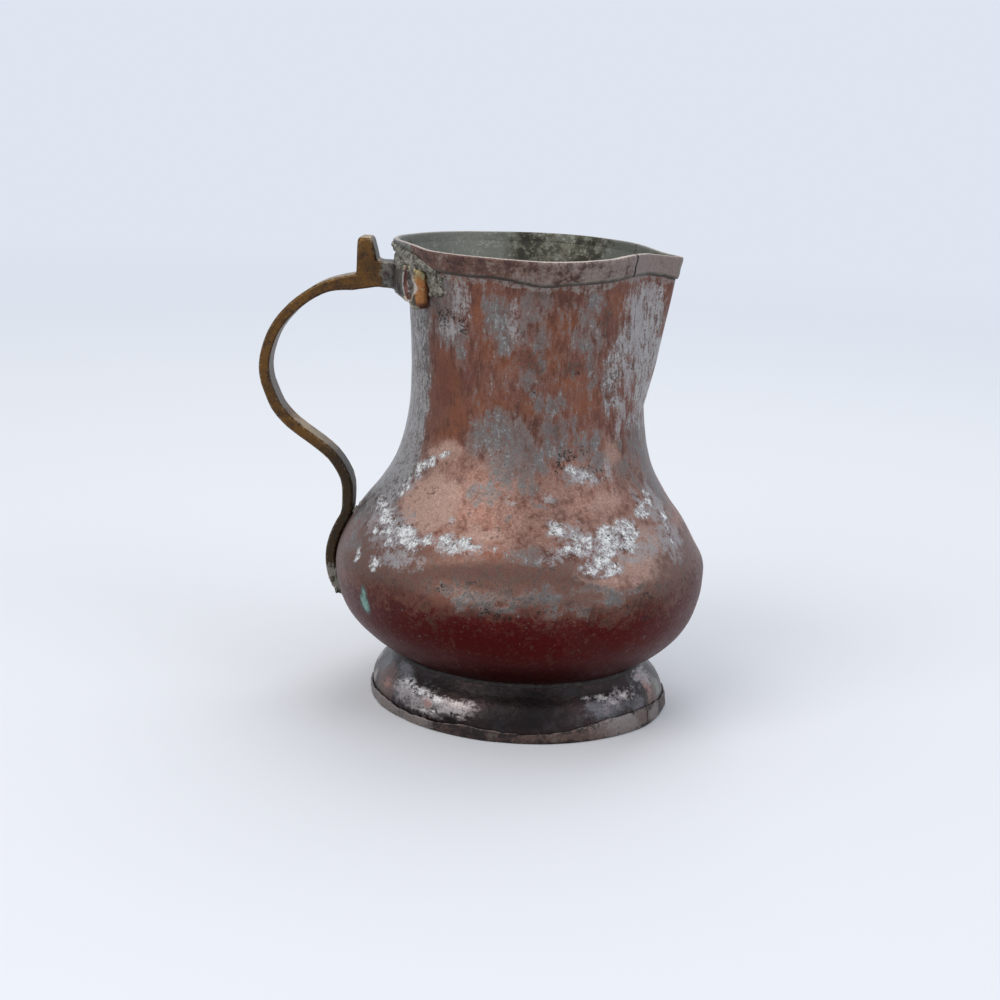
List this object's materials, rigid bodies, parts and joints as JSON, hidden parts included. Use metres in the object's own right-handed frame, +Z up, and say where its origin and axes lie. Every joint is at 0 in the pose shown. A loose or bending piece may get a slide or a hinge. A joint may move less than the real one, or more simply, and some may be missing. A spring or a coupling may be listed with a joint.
{
  "type": "copper pitcher",
  "caption": "Raised copper pitcher with a full belly, pinched pouring spout, flared foot and cast brass handle soldered at the neck and belly.",
  "frame": {"origin": "middle of the whole box in plan, on the plane that the foot stands on", "axes": "+Z up, +X towards the spout, the handle on the -X side, +Y across"},
  "size_m": [0.2328, 0.1892, 0.2352],
  "materials": {
    "copper": "worn hand-raised copper with patches of old tin",
    "dark_copper": "brown oxidised copper",
    "tinned_copper": "grey tinned copper, half gloss, scuffed",
    "handle_brass": "cast brass, brown ochre, worn bright at its edges",
    "solder": "dull grey porous tin solder",
    "braze": "brazing brass"
  },
  "bodies": {
    "root": {"lower_bowl": "dark_copper", "upper_body": "copper", "belly_braze": "braze", "foot_ring": "tinned_copper", "foot_hem": "dark_copper", "foot_solder": "solder", "rim_band": "dark_copper", "lip_band": "dark_copper", "handle": "handle_brass", "upper_solder": "solder", "lower_solder": "solder"}
  },
  "joints": []
}
